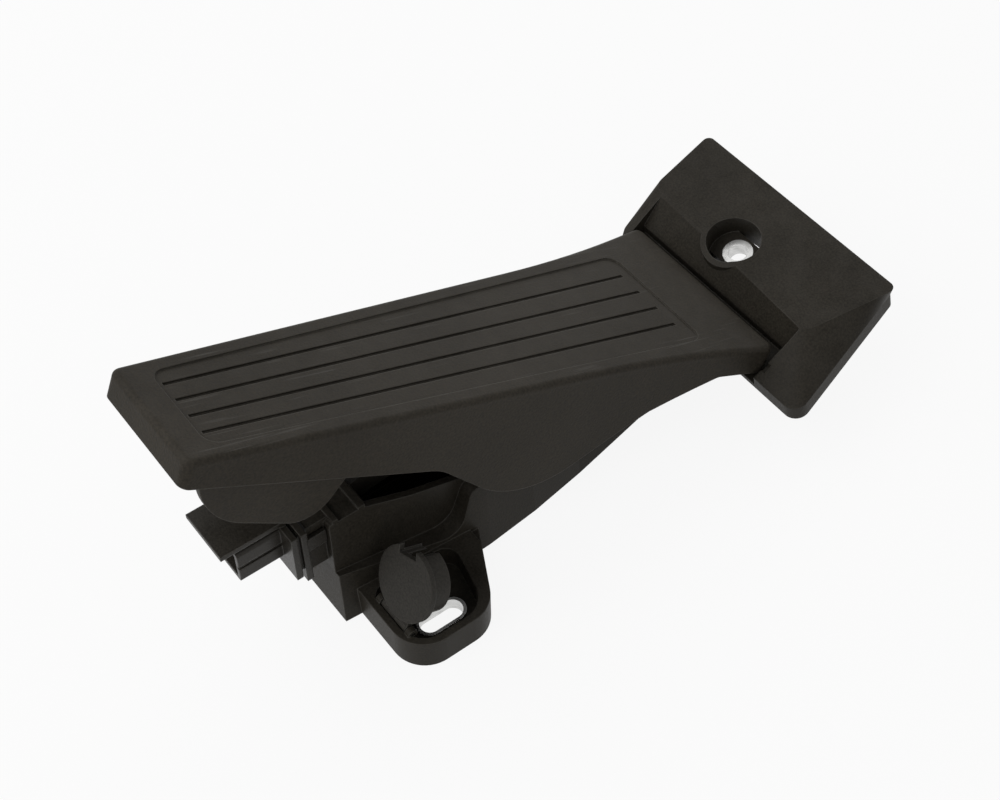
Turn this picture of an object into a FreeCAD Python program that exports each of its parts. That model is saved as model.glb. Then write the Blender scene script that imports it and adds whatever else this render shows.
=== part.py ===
import FreeCAD, Part
import math
import os

# Accelerator pedal module of the organ type, in millimetres.
# X runs across the pedal, Y from the heel to the tip, Z up from the mounting plane.
# The heel datum is Y = 0 while modelling; saved pieces have Y = 0 in line with the ear's bolt.

os.makedirs("parts", exist_ok=True)
V = FreeCAD.Vector

# Treadle
PAD_SLOPE = 22.0
PAD_HEEL_Y = 2.5
PAD_HEEL_Z = 30.5
PAD_LENGTH = 226.7
PAD_TIP_HALF = 21.4
PAD_WAIST_HALF = 29.1
PAD_WAIST_AT = 45.0
PAD_WAIST_RADIUS = 430.0
PAD_HEEL_HALF = 37.1
PAD_CORNER = 3.0
PAD_EDGE_FILLET = 2.0
PAD_SLAB = 3.0
PAD_SKIN = 2.5
PAD_WALL = 2.2
PAD_DRAFT = 2.0
SKIRT_TIP_DEPTH = 8.6
SKIRT_FRONT_AT = 133.0
SKIRT_FRONT_DEPTH = 26.4
SKIRT_FRONT_RADIUS = 18.0
LOBE_AT = 93.0
LOBE_APEX_DEPTH = 51.1
LOBE_RADIUS = 38.0
SKIRT_REAR_AT = 47.0
SKIRT_REAR_DEPTH = 21.9
SKIRT_REAR_RADIUS = 6.0
SKIRT_HEEL_AT = 21.0
SKIRT_HEEL_DEPTH = 10.8
SKIRT_HEEL_RADIUS = 5.0
SKIRT_END_DEPTH = 10.5
PANEL_DEPTH = 0.6
PANEL_TIP_GAP = 9.7
PANEL_HEEL_AT = 25.0
PANEL_EDGE_GAP = 5.5
PANEL_CORNER = 5.0
GROOVE_COUNT = 4
GROOVE_WIDTH = 1.3
GROOVE_DEPTH = 0.8
GROOVE_TIP_PITCH = 7.2
GROOVE_HEEL_PITCH = 9.4
GROOVE_TIP_AT = 215.5
GROOVE_HEEL_AT = 29.2
RIB_DEPTH = 4.0
RIB_WIDTH = 1.6
RIB_STATIONS = (36.0, 62.0, 136.0, 158.0, 180.0, 202.0)
CHEEK_INNER = 18.0
CHEEK_THICK = 2.4
CHEEK_FRONT = 221.2
CHEEK_DROP = 24.2
CHEEK_FRONT_RADIUS = 30.0
CHEEK_FOOT_RADIUS = 11.5
CHEEK_FOOT_AT = 174.0
CHEEK_FOOT_DEPTH = 40.4
CHEEK_REAR_AT = 160.7

# Treadle hinge
HINGE_AT = 5.0
HINGE_DEPTH = 6.0
HINGE_PIN_RADIUS = 2.0
HINGE_BUSH_WALL = 1.2
KNUCKLE_RADIUS = 4.6
KNUCKLE_INNER = 11.0
KNUCKLE_OUTER = 28.0
LUG_THICK = 4.0
LUG_RADIUS = 4.2
PEDAL_TRAVEL = 10.0

# Heel block
FLOOR_BEND_Y = 75.0
HEEL_TILT = 14.5
HEEL_BUSH_Y = -19.0
HEEL_BUSH_X = 5.5
HEEL_BUSH_RADIUS = 5.5
HEEL_BUSH_BORE = 3.5
HEEL_BUSH_LENGTH = 5.9
HEEL_WELL_RADIUS = 9.9
HEEL_WELL_AT = 0.8
HEEL_WELL_WALL = 2.0
HEEL_BAR_HALF = 6.5
HEEL_BACK = -25.4
HEEL_BACK_NEAR = 46.5
HEEL_BACK_FAR = 49.2
HEEL_FRONT = 31.6
HEEL_FRONT_NEAR = 59.6
HEEL_FAR_FRONT = 21.5
HEEL_FRONT_FAR = 43.6
HEEL_RADII = (2.5, 5.0, 0.0, 5.0, 2.5)
HEEL_RIM = 6.8
PLATE_BACK_HEIGHT = 12.2
PLATE_BACK_NEAR = 49.3
PLATE_FOLD_AT = 10.3
PLATE_FOLD_SKEW = 0.0635
PLATE_FOLD_HEIGHT = 15.7
PLATE_FOLD_NEAR = 41.0
PLATE_FOLD_FAR = 44.4
VALLEY_AT = 16.1
VALLEY_HEIGHT = 6.7
VALLEY_HALF = 39.0
RECESS_HALF = 36.1
RECESS_FLOOR = 2.4
HEEL_WALL = 2.5

# Spine tub and sensor housing
BASE_WALL = 2.5
BASE_DRAFT = 7.0
TUB_HEEL_HALF = 12.5
TUB_NECK_Y = 45.0
TUB_NECK_HALF = 19.3
TUB_BEND_HALF = 20.5
TUB_SHOULDER_Y = 97.0
TUB_SHOULDER_HALF = 23.9
TUB_WIDE_Y = 120.0
TUB_WIDE_HALF = 26.0
TUB_WIDE_RADIUS = 40.0
TUB_WALL_START = 19.0
TUB_WALL_TOP = 29.5
TUB_WALL_HEEL_TOP = 25.0
HOUSING_FRONT = 172.0
HOUSING_FOOT_HALF = 21.8
FOOT_REACH = 1.1
HOUSING_HALF = 17.0
HOUSING_TOP = 46.6
HOUSING_FRONT_RADIUS = 1.5
HOUSING_TOP_RADIUS = 3.0
HOUSING_TOP_START = 160.0
HOUSING_SHOULDER_Y = 141.0
HOUSING_SHOULDER_Z = 37.8
HOUSING_SHOULDER_RADIUS = 12.0
HOUSING_BACK_RUN = 15.0
HOUSING_BACK_Z = 31.5
HOUSING_RIB = 1.4
HOUSING_RIB_AT = 3.5
HOUSING_RIB_WIDTH = 2.0
HOUSING_RIDGE_AT = 1.5
HOUSING_RIDGE_WIDTH = 2.5
LEDGE_FRONT_Z = 22.0
LEDGE_RUN = 21.0
LEDGE_BACK_Z = 12.5
LEDGE_RADIUS = 8.0
SHOULDER_RUN = 15.0
SHOULDER_RADIUS = 4.0

# Side ear and its bolt cap
EAR_BOLT_X = -41.5
EAR_BOLT_Y = 149.0
EAR_OUTER = 53.2
EAR_TIP_SIDE = 167.1
EAR_HEEL_SIDE = 136.5
EAR_FLARE = 27.7
EAR_HEIGHT = 12.5
EAR_WALL = 2.5
EAR_CORNER = 12.0
EAR_FLOOR = 4.0
WELL_INNER = 24.3
WELL_HEEL_OUTER = 138.0
WELL_HEEL_INNER = 132.0
WELL_CORNER = 5.0
LOBE_ROOM = 1.3
SLOT_WIDTH = 7.2
SLOT_LENGTH = 16.0
EAR_BUSH_WALL = 1.1
EAR_BUSH_HEIGHT = 5.0
CAP_X = -36.8
CAP_RADIUS = 12.8
CAP_THICK = 2.0
CAP_REACH = 14.7
CAP_HINGE_RADIUS = 0.9
CAP_HINGE_HALF = 6.5
CAP_HINGE_INSET = 1.9
CAP_EYE_RADIUS = 1.5
CAP_KNUCKLE_RADIUS = 1.8
CAP_KNUCKLE_WIDTH = 2.2
CAP_PLUG_RADIUS = 11.0
CAP_PLUG_WALL = 1.5
CAP_PLUG_DEPTH = 7.4
CAP_NOTCH_HALF = 4.0
CAP_NOTCH_DEPTH = 3.4
CAP_NOTCH_TURN = 20.0
CAP_OPEN = 65.0

# Sensor rotor and drive
ROTOR_Y = 166.5
ROTOR_Z = 35.5
ROTOR_RADIUS = 7.5
ROTOR_HALF = 7.0
ROTOR_SHAFT_RADIUS = 2.5
ROTOR_BUSH_WALL = 2.0
ROTOR_BUSH_INNER = 12.6
ROTOR_BUSH_OUTER = 15.8
ROTOR_BOSS_WALL = 1.0
MAGNET_DEPTH = 2.5
MAGNET_HALF_ANGLE = 48.0
MAGNET_HALF = 4.5
LEVER_HALF = 4.5
LEVER_DEPTH = 8.0
FORK_IN = 6.6
FORK_OUT = 4.4
FORK_PRONG = 3.0
FORK_ROOT_RADIUS = 4.0
FORK_TIP_RADIUS = 2.0
DRIVE_RADIUS = 112.0
DRIVE_PIN_RADIUS = 2.5
DRIVE_SLACK = 0.7
LEG_INNER = 6.5
LEG_THICK = 3.0
LEG_BOSS = 5.5
LEG_ROOM = 7.36

# Return springs
SPRING_OUTER_RADIUS = 11.0
SPRING_OUTER_WIRE = 1.2
SPRING_INNER_RADIUS = 7.0
SPRING_INNER_WIRE = 0.9
SPRING_OUTER_TURNS = 6
SPRING_INNER_TURNS = 7
SPRING_END_PITCH = 2.3
SPRING_STEPS = 8
SPRING_SIDES = 6
SPRING_CUP_WALL = 1.8
SPRING_CUP_LIP = 4.0
SPRING_CUP_BACK = 5.95
SPRING_SEAT_LIP = 3.0
SPRING_SEAT_THICK = 2.5
SPRING_SEAT_ROOM = 0.6

# Travel stop
STOP_AT = 4.7
STOP_RADIUS = 3.4
STOP_HEIGHT = 3.0
STOP_GAP = 0.4

# Sensor cover and connector
COLLAR_HALF = 13.8
COLLAR_LOW = 26.0
COLLAR_HIGH = 47.5
COLLAR_WALL = 2.2
COLLAR_LENGTH = 6.3
SEAL_THICK = 1.2
COVER_HALF = 16.8
COVER_LOW = 29.0
COVER_INNER_LOW = 25.5
COVER_HIGH = 49.5
COVER_PLATE = 2.2
COVER_NECK = 1.2
COVER_NECK_INSET = 1.6
BOARD_THICK = 1.2
BOARD_GAP = 2.0
BOARD_MARGIN = 0.5
CHIP_SIDE = 5.0
CHIP_THICK = 1.1
CHIP_PITCH = 9.0
CAPACITOR_LENGTH = 1.6
CAPACITOR_WIDTH = 1.0
CAPACITOR_HEIGHT = 0.8
CAPACITOR_INSET = 2.5
POST_RADIUS = 1.1
POST_INSET = 2.2
SOCKET_HALF = 10.0
SOCKET_LOW = 34.0
SOCKET_HIGH = 48.0
SOCKET_LENGTH = 15.5
SOCKET_WALL = 1.6
SOCKET_BACK = 2.2
SOCKET_CORNER = 1.5
SOCKET_INNER_CORNER = 1.0
HOOD_HALF = 10.2
HOOD_HIGH = 51.7
HOOD_THICK = 1.8
HOOD_LENGTH = 20.7
TERMINAL_SIDE = 1.0
TERMINAL_PITCH = 5.0
TERMINAL_ROWS = 2
TERMINAL_COLUMNS = 3
TERMINAL_REACH = 10.0
CLIP_WIDTH = 6.0
CLIP_THICK = 1.4

# Shared fits
RUN_FIT = 0.05
PRESS_FIT = 0.02
SIDE_GAP = 0.4
AMPLE = 80.0


def rise(angle):
    return math.tan(math.radians(angle))


# Places worked out from the sizes above
PAD_FRAME = FreeCAD.Placement(V(0, PAD_HEEL_Y, PAD_HEEL_Z), FreeCAD.Rotation(V(1, 0, 0), PAD_SLOPE))
HEEL_BUSH_Z = (FLOOR_BEND_Y - HEEL_BUSH_Y) * rise(HEEL_TILT)
HEEL_FRAME = FreeCAD.Placement(V(0, HEEL_BUSH_Y, HEEL_BUSH_Z), FreeCAD.Rotation(V(1, 0, 0), -HEEL_TILT))
HINGE = PAD_FRAME.multVec(V(0, HINGE_AT, -HINGE_DEPTH))
ROTOR = V(0, ROTOR_Y, ROTOR_Z)
DRIVE_MIDDLE = math.degrees(math.asin((ROTOR_Z - HINGE.z) / DRIVE_RADIUS))
DRIVE_REST = math.radians(DRIVE_MIDDLE + PEDAL_TRAVEL / 2)
DRIVE = HINGE + V(0, DRIVE_RADIUS * math.cos(DRIVE_REST), DRIVE_RADIUS * math.sin(DRIVE_REST))
LEVER_RISE = math.degrees(math.atan2(DRIVE.z - ROTOR.z, ROTOR.y - DRIVE.y))
LEVER_LENGTH = (DRIVE - ROTOR).Length
BULKHEAD_Y = DRIVE.y - LEG_BOSS - LEG_ROOM
SHOULDER_Y = BULKHEAD_Y + SHOULDER_RUN
LEDGE_BACK_Y = BULKHEAD_Y + LEDGE_RUN
HOUSING_BACK_Y = BULKHEAD_Y + HOUSING_BACK_RUN
SPRING_LIP_RADIUS = SPRING_OUTER_RADIUS + SPRING_OUTER_WIRE + SIDE_GAP
SPRING_CUP_RADIUS = SPRING_LIP_RADIUS + SPRING_CUP_WALL
SPRING_Y = BULKHEAD_Y - BASE_WALL - SPRING_SEAT_ROOM - SPRING_CUP_RADIUS
STOP_Y = HOUSING_TOP_START + STOP_AT
CAP_HINGE = V(CAP_X, EAR_TIP_SIDE - EAR_WALL - CAP_HINGE_INSET, EAR_HEIGHT)
COLLAR_END = HOUSING_FRONT + COLLAR_LENGTH
COVER_BACK = COLLAR_END + SEAL_THICK
COVER_FRONT = COVER_BACK + 2 * COVER_PLATE + COVER_NECK
BOARD_BACK = COVER_BACK - BOARD_GAP
BOARD_HALF = COLLAR_HALF - COLLAR_WALL - BOARD_MARGIN
BOARD_LOW = COLLAR_LOW + COLLAR_WALL + BOARD_MARGIN
BOARD_HIGH = COLLAR_HIGH - COLLAR_WALL - BOARD_MARGIN
HINGE_BUSH_RADIUS = HINGE_PIN_RADIUS + HINGE_BUSH_WALL
ROTOR_BUSH_RADIUS = ROTOR_SHAFT_RADIUS + ROTOR_BUSH_WALL


def floor_z(y):
    return max(0.0, (FLOOR_BEND_Y - y) * rise(HEEL_TILT))


def skin_z(y):
    """Height of the underside of the treadle's top skin, over the mounting plane."""
    skin = PAD_SKIN / math.cos(math.radians(PAD_SLOPE))
    return PAD_HEEL_Z + (y - PAD_HEEL_Y) * rise(PAD_SLOPE) - skin


SPRING_FOOT = floor_z(SPRING_Y - SPRING_CUP_RADIUS) + BASE_WALL + SPRING_SEAT_THICK
SPRING_LENGTH = skin_z(SPRING_Y) - SPRING_CUP_BACK - SPRING_FOOT


def outline(corners, at):
    """Closed wire through corners (a, b, radius), each rounded; at(p) puts a flat point in space."""
    ends = []
    for i, (a, b, radius) in enumerate(corners):
        here = V(a, b, 0)
        if radius == 0:
            ends.append((here, None, here))
            continue
        before = corners[i - 1]
        after = corners[(i + 1) % len(corners)]
        back = (V(before[0], before[1], 0) - here).normalize()
        on = (V(after[0], after[1], 0) - here).normalize()
        half = back.getAngle(on) / 2
        reach = radius / math.tan(half)
        middle = here + (back + on).normalize() * (radius / math.sin(half) - radius)
        ends.append((here + back * reach, middle, here + on * reach))
    edges = []
    for i, (start, middle, stop) in enumerate(ends):
        if middle is not None:
            edges.append(Part.Arc(at(start), at(middle), at(stop)).toShape())
        following = ends[(i + 1) % len(ends)][0]
        edges.append(Part.makeLine(at(stop), at(following)))
    return Part.Wire(edges)


def across(corners, low, high):
    """Side outline of (y, z, radius) corners, thick across the pedal from x = low to x = high."""
    wire = outline(corners, lambda p: V(low, p.x, p.y))
    return Part.Face(wire).extrude(V(high - low, 0, 0))


def along(corners, low, high):
    """Front outline of (x, z, radius) corners, thick along the pedal from y = low to y = high."""
    wire = outline(corners, lambda p: V(p.x, low, p.y))
    return Part.Face(wire).extrude(V(0, high - low, 0))


def upright(corners, low, high):
    """Plan outline of (x, y, radius) corners, from z = low to z = high."""
    wire = outline(corners, lambda p: V(p.x, p.y, low))
    return Part.Face(wire).extrude(V(0, 0, high - low))


def box(x0, x1, y0, y1, z0, z1):
    return Part.makeBox(x1 - x0, y1 - y0, z1 - z0, V(x0, y0, z0))


def rod(radius, start, end):
    return Part.makeCylinder(radius, (end - start).Length, start, end - start)


def cross_rod(radius, centre, low, high):
    return rod(radius, V(low, centre.y, centre.z), V(high, centre.y, centre.z))


def fused(shapes):
    return shapes[0].multiFuse(shapes[1:]).removeSplitter()


def placed(shape, frame):
    copy = shape.copy()
    copy.Placement = frame.multiply(copy.Placement)
    return copy


def turned(shape, centre, angle):
    copy = shape.copy()
    copy.rotate(centre, V(1, 0, 0), angle)
    return copy


def mirrored(shape):
    return shape.mirror(V(0, 0, 0), V(1, 0, 0))


def both_sides(shape):
    return [shape, mirrored(shape)]


def obround(centre_x, centre_y, width, length, low, high):
    """Slot-shaped column, long along Y."""
    half = length / 2
    side = width / 2
    corners = [
        (centre_x - side, centre_y - half, side * 0.999),
        (centre_x + side, centre_y - half, side * 0.999),
        (centre_x + side, centre_y + half, side * 0.999),
        (centre_x - side, centre_y + half, side * 0.999),
    ]
    return upright(corners, low, high)


def save(node, shape):
    moved = shape.copy()
    moved.translate(V(0, -EAR_BOLT_Y, 0))
    moved.exportStep("parts/" + node + ".step")


# Treadle


def pad_plan(out, grow, z):
    """Plan of the treadle at height z of its own frame, sides moved out by out and ends by grow."""
    half = [
        (PAD_HEEL_HALF + out, -grow, PAD_CORNER),
        (PAD_WAIST_HALF + out, PAD_WAIST_AT, PAD_WAIST_RADIUS),
        (PAD_TIP_HALF + out, PAD_LENGTH + grow, PAD_CORNER),
    ]
    other = [(-x, s, r) for x, s, r in reversed(half)]
    return outline(half + other, lambda p: V(p.x, p.y, z))


def pad_walls(grow, top):
    """Drafted block of the treadle's plan from z = top down, all sides moved out by grow."""
    draft = (AMPLE + top) * rise(PAD_DRAFT)
    wires = [pad_plan(grow, grow, top), pad_plan(grow + draft, grow, -AMPLE)]
    return Part.makeLoft(wires, True, True)


def pad_block():
    """Outer form of the treadle: a slab with its top edge rolled over, and the drafted walls below it."""
    slab = Part.Face(pad_plan(0, 0, -PAD_SLAB)).extrude(V(0, 0, PAD_SLAB))
    rim = [e for e in slab.Edges if max(abs(v.Z) for v in e.Vertexes) < 1e-6]
    return slab.makeFillet(PAD_EDGE_FILLET, rim).fuse(pad_walls(0, -PAD_SLAB))


def pad_side():
    """Side outline of the treadle with its skirt: shallow at the tip, a round lobe, then the heel."""
    heel_slope = (SKIRT_HEEL_DEPTH - SKIRT_END_DEPTH) / SKIRT_HEEL_AT
    spare = 2 * PAD_SKIN
    corners = [
        (-spare, spare, 0),
        (PAD_LENGTH + spare, spare, 0),
        (PAD_LENGTH + spare, -SKIRT_TIP_DEPTH, 0),
        (SKIRT_FRONT_AT, -SKIRT_FRONT_DEPTH, SKIRT_FRONT_RADIUS),
        (LOBE_AT, -LOBE_APEX_DEPTH, LOBE_RADIUS),
        (SKIRT_REAR_AT, -SKIRT_REAR_DEPTH, SKIRT_REAR_RADIUS),
        (SKIRT_HEEL_AT, -SKIRT_HEEL_DEPTH, SKIRT_HEEL_RADIUS),
        (-spare, -SKIRT_END_DEPTH + heel_slope * spare, 0),
    ]
    return across(corners, -AMPLE, AMPLE)


def tread_cuts():
    """Shallow panel in the top face and the grooves that run along it, fanning out to the heel."""
    tip = PAD_LENGTH - PANEL_TIP_GAP
    slope = (PAD_WAIST_HALF - PAD_TIP_HALF) / (PAD_LENGTH - PAD_WAIST_AT)
    tip_half = PAD_TIP_HALF - PANEL_EDGE_GAP + slope * PANEL_TIP_GAP
    heel_half = PAD_WAIST_HALF - PANEL_EDGE_GAP + slope * (PAD_WAIST_AT - PANEL_HEEL_AT)
    panel = upright([
        (heel_half, PANEL_HEEL_AT, PANEL_CORNER),
        (tip_half, tip, PANEL_CORNER),
        (-tip_half, tip, PANEL_CORNER),
        (-heel_half, PANEL_HEEL_AT, PANEL_CORNER),
    ], -PANEL_DEPTH, PAD_SKIN)
    cuts = [panel]
    half = GROOVE_WIDTH / 2
    for i in range(GROOVE_COUNT):
        step = i - (GROOVE_COUNT - 1) / 2
        tip_x = step * GROOVE_TIP_PITCH
        heel_x = step * GROOVE_HEEL_PITCH
        cuts.append(upright([
            (tip_x - half, GROOVE_TIP_AT, 0),
            (heel_x - half, GROOVE_HEEL_AT, 0),
            (heel_x + half, GROOVE_HEEL_AT, 0),
            (tip_x + half, GROOVE_TIP_AT, 0),
        ], -PANEL_DEPTH - GROOVE_DEPTH, 0))
    return cuts


def pad_ribs(hollow):
    """Cross ribs and one spine rib under the top skin, trimmed to the hollow."""
    low = -PAD_SKIN - RIB_DEPTH
    half = RIB_WIDTH / 2
    ribs = [box(-AMPLE, AMPLE, s - half, s + half, low, -PAD_SKIN / 2) for s in RIB_STATIONS]
    ribs.append(box(-half, half, RIB_STATIONS[2], PAD_LENGTH, low, -PAD_SKIN / 2))
    ribs.append(box(-half, half, RIB_STATIONS[0], RIB_STATIONS[1], low, -PAD_SKIN / 2))
    reach = hollow.fuse(hollow.translated(V(0, 0, PAD_SKIN / 2)))
    return [rib.common(reach) for rib in ribs]


def pad_cheek():
    """D-shaped plate under the tip; a pair of them straddles the sensor housing."""
    corners = [
        (CHEEK_FRONT, -PAD_SKIN / 2, 0),
        (CHEEK_FRONT, -CHEEK_DROP, CHEEK_FRONT_RADIUS),
        (CHEEK_FOOT_AT, -CHEEK_FOOT_DEPTH, CHEEK_FOOT_RADIUS),
        (CHEEK_REAR_AT, -SKIRT_FRONT_DEPTH / 2, 0),
        (CHEEK_REAR_AT, -PAD_SKIN / 2, 0),
    ]
    return across(corners, CHEEK_INNER, CHEEK_INNER + CHEEK_THICK)


def drive_leg(drive):
    """Leg that hangs from the treadle and holds one end of the drive pin."""
    foot = drive.z - LEG_BOSS
    corners = [
        (drive.y - LEG_BOSS, -PAD_SKIN / 2, 0),
        (drive.y + 3 * LEG_BOSS, -PAD_SKIN / 2, 0),
        (drive.y + LEG_BOSS, foot, LEG_BOSS * 0.95),
        (drive.y - LEG_BOSS, foot, LEG_BOSS * 0.95),
    ]
    return across(corners, LEG_INNER, LEG_INNER + LEG_THICK)


def stop_boss():
    """Post under the treadle that lands on the rubber stop at full travel."""
    foot = HOUSING_TOP + STOP_HEIGHT + STOP_GAP
    pressed = rod(STOP_RADIUS, V(0, STOP_Y, foot), V(0, STOP_Y, foot + AMPLE))
    rest = turned(pressed, HINGE, PEDAL_TRAVEL)
    below_skin = placed(
        box(-AMPLE, AMPLE, 0, 2 * PAD_LENGTH, -2 * AMPLE, -PAD_SKIN / 2), PAD_FRAME)
    return rest.common(below_skin)


def pedal_pad():
    hollow = pad_walls(-PAD_WALL, -PAD_SKIN)
    shell = pad_block().common(pad_side()).cut(hollow)
    drive = PAD_FRAME.inverse().multVec(DRIVE)
    hinge = V(0, HINGE_AT, -HINGE_DEPTH)
    pieces = [shell]
    pieces += pad_ribs(hollow)
    pieces += both_sides(pad_cheek())
    pieces += both_sides(drive_leg(drive))
    knuckle = cross_rod(KNUCKLE_RADIUS, hinge, KNUCKLE_INNER, KNUCKLE_OUTER)
    web = box(KNUCKLE_INNER, KNUCKLE_OUTER, HINGE_AT - KNUCKLE_RADIUS, HINGE_AT + KNUCKLE_RADIUS,
              -HINGE_DEPTH, -PAD_SKIN / 2)
    pieces += both_sides(knuckle.fuse(web))
    pieces.append(placed(stop_boss(), PAD_FRAME.inverse()))
    pad = fused(pieces)
    lug_room = LUG_RADIUS + SIDE_GAP + PAD_WALL
    slots = []
    for inner, outer in lug_spans():
        slots.append(box(inner - SIDE_GAP, outer + SIDE_GAP, -PAD_CORNER, HINGE_AT + lug_room,
                         -AMPLE, -HINGE_DEPTH + LUG_RADIUS + SIDE_GAP))
    bush_bore = cross_rod(HINGE_BUSH_RADIUS + PRESS_FIT, hinge, -KNUCKLE_OUTER, KNUCKLE_OUTER)
    pin_bore = cross_rod(DRIVE_PIN_RADIUS + PRESS_FIT, drive, -AMPLE / 2, AMPLE / 2)
    pin_reach = box(-LEG_INNER - LEG_THICK, LEG_INNER + LEG_THICK, -AMPLE, PAD_LENGTH,
                    -AMPLE, -PAD_SKIN)
    pad = pad.cut(tread_cuts() + slots + [bush_bore, pin_bore.common(pin_reach)])
    return placed(pad, PAD_FRAME)


def lug_spans():
    """Low and high x of each hinge lug of the base: one in the middle, one outside each knuckle."""
    middle = KNUCKLE_INNER - SIDE_GAP
    inner = KNUCKLE_OUTER + SIDE_GAP
    outer = inner + LUG_THICK
    return [(-outer, -inner), (-middle, middle), (inner, outer)]


def hinge_pin():
    reach = KNUCKLE_OUTER + SIDE_GAP + LUG_THICK
    return cross_rod(HINGE_PIN_RADIUS, HINGE, -reach, reach)


def hinge_bushes():
    sleeve = cross_rod(HINGE_BUSH_RADIUS, HINGE, KNUCKLE_INNER, KNUCKLE_OUTER)
    bore = cross_rod(HINGE_PIN_RADIUS + RUN_FIT, HINGE, 0, KNUCKLE_OUTER)
    return Part.Compound(both_sides(sleeve.cut(bore)))


def drive_pin():
    return cross_rod(DRIVE_PIN_RADIUS, DRIVE, -LEG_INNER - LEG_THICK, LEG_INNER + LEG_THICK)


def upper_spring_cup():
    """Cup that seats the springs' top ends under the treadle, with a slanted back and a centring boss."""
    seat = SPRING_FOOT + SPRING_LENGTH
    centre = V(0, SPRING_Y, 0)
    lip = V(0, SPRING_Y, seat - SPRING_CUP_LIP)
    body = rod(SPRING_CUP_RADIUS, lip, lip + V(0, 0, AMPLE))
    body = body.cut(rod(SPRING_LIP_RADIUS, centre, centre + V(0, 0, seat)))
    boss_radius = (SPRING_INNER_RADIUS - SPRING_INNER_WIRE) * math.cos(math.pi / SPRING_STEPS) - SIDE_GAP
    boss = rod(boss_radius, lip, centre + V(0, 0, seat))
    above = placed(box(-AMPLE, AMPLE, -AMPLE, PAD_LENGTH, -PAD_SKIN, 2 * AMPLE), PAD_FRAME)
    return body.fuse(boss).removeSplitter().cut(above)


# Base


def fold_at(x):
    """Place of the fold between the top plate and the front wall, which runs a little askew."""
    return PLATE_FOLD_AT - PLATE_FOLD_SKEW * (x + PLATE_FOLD_NEAR)


def heel_outline(inset, corners):
    """Plan corners of the heel block: rounded outside, sharp where all sides are moved in by inset."""
    moved = []
    for (x, u), radius in zip(corners, HEEL_RADII):
        end = inset if u == HEEL_BACK else -inset
        moved.append((x - math.copysign(inset, x), u + end, 0 if inset else radius))
    return moved


def heel_mass(inset):
    """Bell of the heel block in its own frame: an upright rim, then walls leaning in to the top plate."""
    rim = heel_outline(inset, [
        (HEEL_BACK_FAR, HEEL_BACK),
        (HEEL_FRONT_FAR, HEEL_FAR_FRONT),
        (RECESS_HALF, HEEL_FRONT),
        (-HEEL_FRONT_NEAR, HEEL_FRONT),
        (-HEEL_BACK_NEAR, HEEL_BACK),
    ])
    plate = heel_outline(inset, [
        (HEEL_BACK_FAR, HEEL_BACK),
        (PLATE_FOLD_FAR, fold_at(PLATE_FOLD_FAR)),
        (RECESS_HALF, fold_at(RECESS_HALF)),
        (-PLATE_FOLD_NEAR, PLATE_FOLD_AT),
        (-PLATE_BACK_NEAR, HEEL_BACK),
    ])
    slope = (PLATE_FOLD_HEIGHT - PLATE_BACK_HEIGHT) / (PLATE_FOLD_AT - HEEL_BACK)
    low = outline(rim, lambda p: V(p.x, p.y, HEEL_RIM - inset / 2))
    high = outline(plate, lambda p: V(p.x, p.y, PLATE_BACK_HEIGHT - inset + slope * (p.y - HEEL_BACK)))
    foot = upright(rim, -inset, HEEL_RIM - inset / 2)
    return foot.fuse(Part.makeLoft([low, high], True, True))


def recess_zone(wall):
    """Room for the treadle's heel end: behind it the steep front wall, either side the arms."""
    top = PLATE_FOLD_HEIGHT + (PLATE_FOLD_HEIGHT - VALLEY_HEIGHT)
    sides = []
    for x in (-AMPLE, AMPLE):
        profile = [
            (2 * fold_at(x) - VALLEY_AT - wall, top, 0),
            (VALLEY_AT - wall, VALLEY_HEIGHT, 0),
            (VALLEY_AT - wall, RECESS_FLOOR - 2 * wall, 0),
            (2 * HEEL_FRONT, RECESS_FLOOR - 2 * wall, 0),
            (2 * HEEL_FRONT, top, 0),
        ]
        sides.append(outline(profile, lambda p: V(x, p.x, p.y)))
    plan = upright([
        (VALLEY_HALF + wall, HEEL_BACK, 0),
        (VALLEY_HALF + wall, VALLEY_AT, 0),
        (RECESS_HALF + wall, 2 * HEEL_FRONT, 0),
        (-RECESS_HALF - wall, 2 * HEEL_FRONT, 0),
        (-VALLEY_HALF - wall, VALLEY_AT, 0),
        (-VALLEY_HALF - wall, HEEL_BACK, 0),
    ], -AMPLE, AMPLE)
    return Part.makeLoft(sides, True, True).common(plan)


def heel_block():
    shell = heel_mass(0).cut(heel_mass(HEEL_WALL).cut(recess_zone(HEEL_WALL)))
    up = V(0, 0, PLATE_FOLD_HEIGHT + HEEL_WALL)
    middle = V(HEEL_BUSH_X, HEEL_WELL_AT, 0)
    tube = rod(HEEL_WELL_RADIUS + HEEL_WELL_WALL, middle, middle + up).common(heel_mass(0))
    well = rod(HEEL_WELL_RADIUS, middle, middle + up)
    bar = box(-AMPLE, AMPLE, -HEEL_BAR_HALF, HEEL_BAR_HALF, 0, HEEL_BUSH_LENGTH)
    bar = bar.common(rod(HEEL_WELL_RADIUS + PRESS_FIT, middle, middle + up))
    block = fused([shell.cut(recess_zone(0)), tube]).cut(well)
    sleeve = V(HEEL_BUSH_X, 0, 0)
    block = fused([block, bar]).cut(rod(HEEL_BUSH_RADIUS + PRESS_FIT, sleeve, sleeve + up))
    return placed(block, HEEL_FRAME)


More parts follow.
